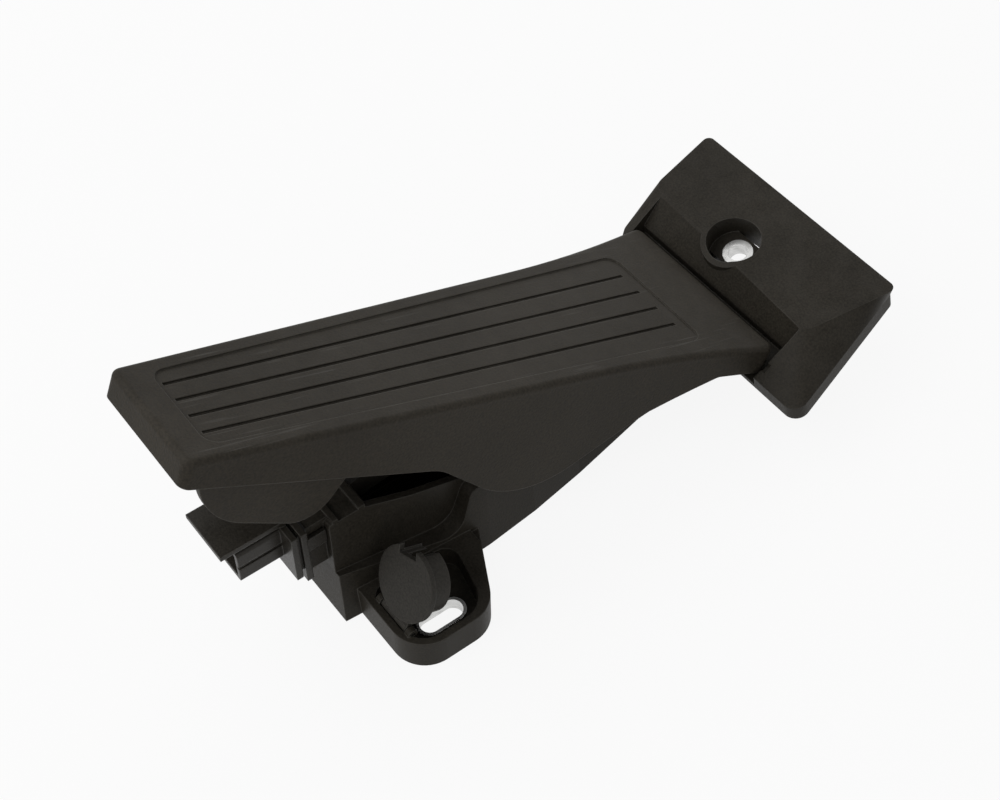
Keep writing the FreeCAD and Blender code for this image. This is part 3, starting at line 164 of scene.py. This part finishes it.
def moulded(name, shade, edge_wear_and_highlight, grain_size, grain_depth, roughness, dust, specular):
    """Moulded plastic or rubber; grain size and depth are in metres."""
    material = bpy.data.materials.new(name)
    material.use_nodes = True
    tree = material.node_tree
    shader = tree.nodes["Principled BSDF"]
    shader.inputs["Specular IOR Level"].default_value = specular
    skin = tree.nodes.new("ShaderNodeGroup")
    skin.node_tree = moulded_skin
    skin.name = "skin"
    skin.inputs["Shade"].default_value = (*shade, 1.0)
    skin.inputs["Worn and highlit edge"].default_value = (*edge_wear_and_highlight, 1.0)
    for socket, value in (("Grain size", grain_size), ("Grain depth", grain_depth),
                          ("Roughness", roughness), ("Dust", dust)):
        skin.inputs[socket].default_value = value
    tree.links.new(skin.outputs["Colour"], shader.inputs["Base Color"])
    tree.links.new(skin.outputs["Roughness"], shader.inputs["Roughness"])
    tree.links.new(skin.outputs["Normal"], shader.inputs["Normal"])
    return material


def dress(node, material):
    """Gives a piece that one finish."""
    slots = nodes[node].data.materials
    slots.clear()
    slots.append(material)


frame_nylon = moulded(
    "frame_nylon", shade=(0.0225, 0.0197, 0.0152), edge_wear_and_highlight=(0.100, 0.095, 0.085),
    grain_size=0.0007, grain_depth=0.00010, roughness=0.46, dust=0.08, specular=0.08)
dress("base_frame", frame_nylon)

# Bolt sleeves. Short zinc-plated steel tubes pressed into the heel well and the ear, round and slotted,
# so that the bolts clamp on steel and not on plastic. The plating is bright with a fine turned lay.

bloom_patches = 320.0
worked_steel, given, made = effect(
    "worked_steel",
    (("Bright", "Color"), ("Dull", "Color"), ("Lay", "Vector"), ("Roughness", "Float"),
     ("Lay depth", "Float")),
    (("Colour", "Color"), ("Roughness", "Float"), ("Normal", "Vector")))
place = worked_steel.nodes.new("ShaderNodeTexCoord").outputs["Object"]
drawn = worked_steel.nodes.new("ShaderNodeVectorMath")
drawn.operation = "MULTIPLY"
worked_steel.links.new(place, drawn.inputs[0])
worked_steel.links.new(given["Lay"], drawn.inputs[1])
lines = mottle(worked_steel, drawn.outputs[0], 1.0, 3.0)
bloom = mottle(worked_steel, place, bloom_patches, 4.0)
stain = reckon(worked_steel, "MULTIPLY", spread(worked_steel, lines, (0.35, 0.65), whole),
               spread(worked_steel, bloom, (0.35, 0.70), (0.15, 1.0)))
worked_steel.links.new(tinted(worked_steel, stain, given["Bright"], given["Dull"]), made["Colour"])
gloss = reckon(worked_steel, "ADD", given["Roughness"],
               spread(worked_steel, lines, noise_middle, roughness_play))
worked_steel.links.new(gloss, made["Roughness"])
bump = add(worked_steel, "ShaderNodeBump", Strength=0.5)
worked_steel.links.new(lines, bump.inputs["Height"])
worked_steel.links.new(given["Lay depth"], bump.inputs["Distance"])
worked_steel.links.new(bump.outputs["Normal"], made["Normal"])


def metal(name, bright, dull, lay, lay_depth, roughness):
    """Worked or plated metal; lay gives how close its fine lines are along each axis, per metre."""
    material = bpy.data.materials.new(name)
    material.use_nodes = True
    tree = material.node_tree
    shader = tree.nodes["Principled BSDF"]
    shader.inputs["Metallic"].default_value = 1.0
    work = tree.nodes.new("ShaderNodeGroup")
    work.node_tree = worked_steel
    work.inputs["Bright"].default_value = (*bright, 1.0)
    work.inputs["Dull"].default_value = (*dull, 1.0)
    work.inputs["Lay"].default_value = lay
    work.inputs["Lay depth"].default_value = lay_depth
    work.inputs["Roughness"].default_value = roughness
    tree.links.new(work.outputs["Colour"], shader.inputs["Base Color"])
    tree.links.new(work.outputs["Roughness"], shader.inputs["Roughness"])
    tree.links.new(work.outputs["Normal"], shader.inputs["Normal"])
    return material


bright_zinc = metal(
    "bright_zinc", bright=(0.68, 0.68, 0.67), dull=(0.45, 0.45, 0.44),
    lay=(300.0, 300.0, 2600.0), lay_depth=0.00001, roughness=0.30)
for node in ("heel_bush", "ear_bush"):
    dress(node, bright_zinc)

# Pins and sleeves. A ground steel pin through three lugs of the base carries the treadle, with two
# natural acetal sleeves pressed into its knuckles so that it turns without grease. The drive pin and the
# rotor's shaft are of the same steel, and the rotor's sleeves of the same acetal.

ground_steel = metal(
    "ground_steel", bright=(0.62, 0.62, 0.63), dull=(0.47, 0.47, 0.48),
    lay=(2200.0, 160.0, 160.0), lay_depth=0.000006, roughness=0.24)
for node in ("hinge_pin", "drive_pin", "rotor_shaft"):
    dress(node, ground_steel)
natural_acetal = moulded(
    "natural_acetal", shade=(0.62, 0.61, 0.57), edge_wear_and_highlight=(0.70, 0.69, 0.66),
    grain_size=0.0004, grain_depth=0.00001, roughness=0.34, dust=0.05, specular=0.5)
for node in ("hinge_bushes", "rotor_bushes"):
    dress(node, natural_acetal)

# Return springs. Two wire coils, one inside the other, so that one still lifts the treadle if the
# other breaks. The wire is oil-tempered, wound with closed end turns, and stands between an acetal
# seat on the tub's floor and a cup under the treadle, which it follows as it is pressed.

for node in ("upper_spring_cup", "lower_spring_seat"):
    dress(node, natural_acetal)
oiled_wire = metal(
    "oiled_wire", bright=(0.36, 0.355, 0.35), dull=(0.20, 0.195, 0.19),
    lay=(260.0, 260.0, 900.0), lay_depth=0.000008, roughness=0.33)
seat_low, seat_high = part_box("lower_spring_seat")
spring_y = (seat_low[1] + seat_high[1]) / 2
wire_sides = 14
turn_steps = 48
closed_pitch = 2.3
joint_share = 1 / 50
smooth_below = math.radians(50)


def wound_spring(node, coil_radius, wire_radius, turns):
    """A spring wound in three stretches: a closed turn, the open turns and another closed turn."""
    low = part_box(node)[0][2]
    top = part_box(node)[1][2]
    height = top - low - 2 * wire_radius
    closed = closed_pitch * wire_radius
    stretches = ((0.0, closed, 1), (closed, height - 2 * closed, turns - 2), (height - closed, closed, 1))
    pieces = []
    for start, climb, rounds in stretches:
        bpy.ops.mesh.primitive_circle_add(vertices=wire_sides, radius=wire_radius,
                                          rotation=(math.pi / 2, 0, 0),
                                          location=(coil_radius, 0, wire_radius + start))
        bpy.ops.object.transform_apply(location=True, rotation=True, scale=True)
        piece = bpy.context.object
        winding = piece.modifiers.new("winding", "SCREW")
        winding.screw_offset = climb / rounds
        winding.iterations = rounds
        winding.steps = turn_steps
        winding.render_steps = turn_steps
        bpy.ops.object.modifier_apply(modifier="winding")
        pieces.append(piece)
    bpy.ops.object.select_all(action="DESELECT")
    for piece in pieces:
        piece.select_set(True)
    bpy.context.view_layer.objects.active = pieces[0]
    bpy.ops.object.join()
    bpy.ops.object.mode_set(mode="EDIT")
    bpy.ops.mesh.select_all(action="SELECT")
    bpy.ops.mesh.remove_doubles(threshold=wire_radius * joint_share)
    bpy.ops.mesh.fill_holes(sides=wire_sides)
    bpy.ops.mesh.normals_make_consistent(inside=False)
    bpy.ops.transform.translate(value=(0, spring_y, low))
    bpy.ops.object.mode_set(mode="OBJECT")
    bpy.ops.object.shade_smooth_by_angle(angle=smooth_below)
    spring = bpy.context.object
    spring.name = node.replace("return_spring", "wound_spring")
    spring.data.materials.append(oiled_wire)
    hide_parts(node)
    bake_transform(spring)


wound_spring("return_spring_outer", coil_radius=0.0110, wire_radius=0.0012, turns=6)
wound_spring("return_spring_inner", coil_radius=0.0070, wire_radius=0.0009, turns=7)

# Treadle. One moulding in nylon with a shallow ribbed panel, deep side skirts and two cheeks near the
# tip. Its spark-eroded grain is coarser than the frame's, and shoes leave short pale scuffs on top.

treadle_nylon = moulded(
    "treadle_nylon", shade=(0.0270, 0.0233, 0.0178), edge_wear_and_highlight=(0.095, 0.089, 0.078),
    grain_size=0.0008, grain_depth=0.00016, roughness=0.54, dust=0.10, specular=0.09)
scuff_colour = (0.085, 0.080, 0.072)
scuff_share = 0.40
scuff_polish = 0.2
scuff_across = 900.0
scuff_depth = 60.0
rubbed_patches = 38.0
tree = treadle_nylon.node_tree
skin = tree.nodes["skin"]
place = tree.nodes.new("ShaderNodeTexCoord").outputs["Object"]
scuffs = None
for angle, scuff_along in ((12.0, 34.0), (-31.0, 22.0), (74.0, 40.0)):
    swept = tree.nodes.new("ShaderNodeMapping")
    tree.links.new(place, swept.inputs["Vector"])
    swept.inputs["Rotation"].default_value = (0, 0, math.radians(angle))
    swept.inputs["Scale"].default_value = (scuff_across, scuff_along, scuff_depth)
    mark = spread(tree, mottle(tree, swept.outputs["Vector"], 1.0, 0.0), (0.74, 0.80), whole)
    scuffs = mark if scuffs is None else reckon(tree, "MAXIMUM", scuffs, mark)
rubbed = spread(tree, mottle(tree, place, rubbed_patches, 2.0), (0.48, 0.66), (0.0, scuff_share))
facing = tree.nodes.new("ShaderNodeSeparateXYZ")
tree.links.new(tree.nodes.new("ShaderNodeNewGeometry").outputs["True Normal"], facing.inputs[0])
trodden = reckon(tree, "MULTIPLY", rubbed, spread(tree, facing.outputs["Z"], (0.75, 0.90), whole))
scuffs = reckon(tree, "MULTIPLY", scuffs, trodden)
shader = tree.nodes["Principled BSDF"]
tree.links.new(tinted(tree, scuffs, skin.outputs["Colour"], scuff_colour), shader.inputs["Base Color"])
polished = reckon(tree, "SUBTRACT", skin.outputs["Roughness"], reckon(tree, "MULTIPLY", scuffs, scuff_polish))
tree.links.new(polished, shader.inputs["Roughness"])
dress("pedal_pad", treadle_nylon)

# Sensor rotor. A near-black moulded lever, forked where the treadle's drive pin runs in it, with an arc
# of ground ferrite set into its drum and a steel shaft in two acetal sleeves.

lever_nylon = moulded(
    "lever_nylon", shade=(0.0250, 0.0222, 0.0178), edge_wear_and_highlight=(0.090, 0.086, 0.077),
    grain_size=0.0006, grain_depth=0.00006, roughness=0.44, dust=0.0, specular=0.12)
dress("rotor_lever", lever_nylon)
ground_ferrite = moulded(
    "ground_ferrite", shade=(0.062, 0.062, 0.067), edge_wear_and_highlight=(0.15, 0.15, 0.155),
    grain_size=0.0002, grain_depth=0.00002, roughness=0.40, dust=0.0, specular=0.6)
dress("rotor_magnet", ground_ferrite)

# Travel stop and cover seal. Moulded rubber: a button on the housing that ends the treadle's travel,
# and a flat ring squeezed between the housing's collar and the sensor cover.

soft_rubber = moulded(
    "soft_rubber", shade=(0.020, 0.020, 0.0205), edge_wear_and_highlight=(0.045, 0.045, 0.044),
    grain_size=0.0008, grain_depth=0.00002, roughness=0.72, dust=0.22, specular=0.3)
for node in ("travel_stop", "cover_seal"):
    dress(node, soft_rubber)

# Sensor board. Glass laminate under green solder mask with copper tracks showing through, two Hall
# sensors in black resin facing the magnet and four tan ceramic capacitors.

mask_colour = (0.012, 0.105, 0.045)
weave_colour = (0.020, 0.150, 0.065)
track_colour = (0.045, 0.24, 0.095)
track_patches = 210.0
weave_patches = 2600.0
weave_span = (0.0, 0.35)
laminate = bpy.data.materials.new("masked_laminate")
laminate.use_nodes = True
tree = laminate.node_tree
shader = tree.nodes["Principled BSDF"]
place = tree.nodes.new("ShaderNodeTexCoord").outputs["Object"]
bands = add(tree, "ShaderNodeTexWave", Scale=130.0, Distortion=1.5, Detail=0.0)
bands.bands_direction = "X"
tree.links.new(place, bands.inputs["Vector"])
routed = reckon(tree, "MULTIPLY", spread(tree, bands.outputs["Fac"], (0.62, 0.70), whole),
                spread(tree, mottle(tree, place, track_patches, 1.0), (0.44, 0.48), whole))
weave = spread(tree, mottle(tree, place, weave_patches, 1.0), noise_middle, weave_span)
masked = tinted(tree, weave, mask_colour, weave_colour)
tree.links.new(tinted(tree, routed, masked, track_colour), shader.inputs["Base Color"])
tree.links.new(spread(tree, weave, weave_span, (0.24, 0.36)), shader.inputs["Roughness"])
relief = add(tree, "ShaderNodeBump", Strength=0.6, Distance=0.00004)
tree.links.new(routed, relief.inputs["Height"])
tree.links.new(relief.outputs["Normal"], shader.inputs["Normal"])
dress("circuit_board", laminate)
chip_resin = moulded(
    "chip_resin", shade=(0.028, 0.028, 0.029), edge_wear_and_highlight=(0.05, 0.05, 0.05),
    grain_size=0.0002, grain_depth=0.00002, roughness=0.52, dust=0.0, specular=0.45)
dress("hall_sensors", chip_resin)
tan_ceramic = moulded(
    "tan_ceramic", shade=(0.40, 0.30, 0.20), edge_wear_and_highlight=(0.58, 0.56, 0.53),
    grain_size=0.0002, grain_depth=0.00001, roughness=0.40, dust=0.0, specular=0.5)
dress("board_capacitors", tan_ceramic)

# Connector. Six square brass pins, tin plated, moulded through the cover's back. Their outer ends stand
# in the socket, and their inner ends meet the sensor board.

tinned_brass = metal(
    "tinned_brass", bright=(0.70, 0.69, 0.66), dull=(0.56, 0.54, 0.49),
    lay=(500.0, 60.0, 500.0), lay_depth=0.000004, roughness=0.27)
dress("connector_terminals", tinned_brass)

# Sensor cover. The same nylon as the frame from a smoother mould: two flange plates with a groove
# between them, the socket and the roof over it. Two clips hold it on the housing's collar.

cover_nylon = moulded(
    "cover_nylon", shade=(0.0215, 0.0190, 0.0150), edge_wear_and_highlight=(0.100, 0.095, 0.085),
    grain_size=0.0005, grain_depth=0.00005, roughness=0.34, dust=0.06, specular=0.14)
dress("sensor_cover", cover_nylon)

# Bolt cap. A small lid with a plug skirt, in softer polypropylene that shows a slightly greyer face.
# Its two trunnions snap into knuckles on the ear, and it is shown swung open.

cap_plastic = moulded(
    "cap_polypropylene", shade=(0.0330, 0.0305, 0.0262), edge_wear_and_highlight=(0.090, 0.086, 0.078),
    grain_size=0.0007, grain_depth=0.00008, roughness=0.50, dust=0.08, specular=0.10)
dress("bolt_cap", cap_plastic)

# Floor, light and camera. A pale floor and backdrop that the camera and reflections see as white, with
# the part's shadow kept on the floor, four large soft lamps round the part, and a lens above the tip on
# the driver's left.

floor_size = 6.0
floor_colour = (0.80, 0.80, 0.80, 1.0)
white = (1.0, 1.0, 1.0, 1.0)
floor_glow_share = 0.90
world_level = 0.40


def seen_ray(tree):
    """One where the camera, a reflection or clear material looks, zero where light falls."""
    ray = tree.nodes.new("ShaderNodeLightPath")
    seen = reckon(tree, "MAXIMUM", ray.outputs["Is Camera Ray"], ray.outputs["Is Glossy Ray"])
    return reckon(tree, "MAXIMUM", seen, ray.outputs["Is Transmission Ray"])


bpy.ops.mesh.primitive_plane_add(size=floor_size, location=(0, 0, 0))
floor = bpy.context.object
floor.name = "floor"
floor_paint = bpy.data.materials.new("floor_paint")
floor_paint.use_nodes = True
tree = floor_paint.node_tree
shader = tree.nodes["Principled BSDF"]
shader.inputs["Base Color"].default_value = floor_colour
shader.inputs["Roughness"].default_value = 0.9
glow = add(tree, "ShaderNodeEmission", Color=white)
sweep = tree.nodes.new("ShaderNodeMixShader")
tree.links.new(reckon(tree, "MULTIPLY", seen_ray(tree), floor_glow_share), sweep.inputs[0])
tree.links.new(shader.outputs[0], sweep.inputs[1])
tree.links.new(glow.outputs[0], sweep.inputs[2])
tree.links.new(sweep.outputs[0], tree.nodes["Material Output"].inputs["Surface"])
floor.data.materials.append(floor_paint)

world = bpy.data.worlds.new("studio")
bpy.context.scene.world = world
world.use_nodes = True
tree = world.node_tree
backdrop = tree.nodes["Background"]
backdrop.inputs["Color"].default_value = white
tree.links.new(spread(tree, seen_ray(tree), whole, (world_level, 1.0)), backdrop.inputs["Strength"])

lamp_aim = Vector((0, -0.05, 0.05))
lamp_size = 0.8


def softbox(name, spot, power):
    """A square soft lamp turned to the part; power is in watts."""
    bpy.ops.object.light_add(type="AREA", location=spot)
    lamp = bpy.context.object
    lamp.name = name
    lamp.data.shape = "SQUARE"
    lamp.data.size = lamp_size
    lamp.data.energy = power
    lamp.rotation_mode = "QUATERNION"
    lamp.rotation_quaternion = (lamp_aim - Vector(spot)).to_track_quat("-Z", "Y")


softbox("far_side", spot=(0.75, 0.35, 1.00), power=3.5)
softbox("heel_side", spot=(0.60, -0.85, 0.55), power=2.2)
softbox("tip_side", spot=(0.05, 0.90, 0.85), power=5.0)
softbox("near_side", spot=(-0.95, 0.25, 0.15), power=1.4)

lens_place = Vector((-0.300, 0.163, 0.485))
camera_data = bpy.data.cameras.new("camera")
camera = bpy.data.objects.new("camera", camera_data)
bpy.context.scene.collection.objects.link(camera)
camera_data.sensor_width = 36.0
camera_data.lens = 63.0
right = Vector((-0.600, -0.800, -0.012)).normalized()
up = Vector((0.614, -0.469, 0.635)).normalized()
back = right.cross(up).normalized()
up = back.cross(right)
camera.matrix_world = Matrix((
    (right.x, up.x, back.x, lens_place.x),
    (right.y, up.y, back.y, lens_place.y),
    (right.z, up.z, back.z, lens_place.z),
    (0, 0, 0, 1),
))
bpy.context.scene.camera = camera
bpy.context.scene.view_settings.view_transform = "Standard"
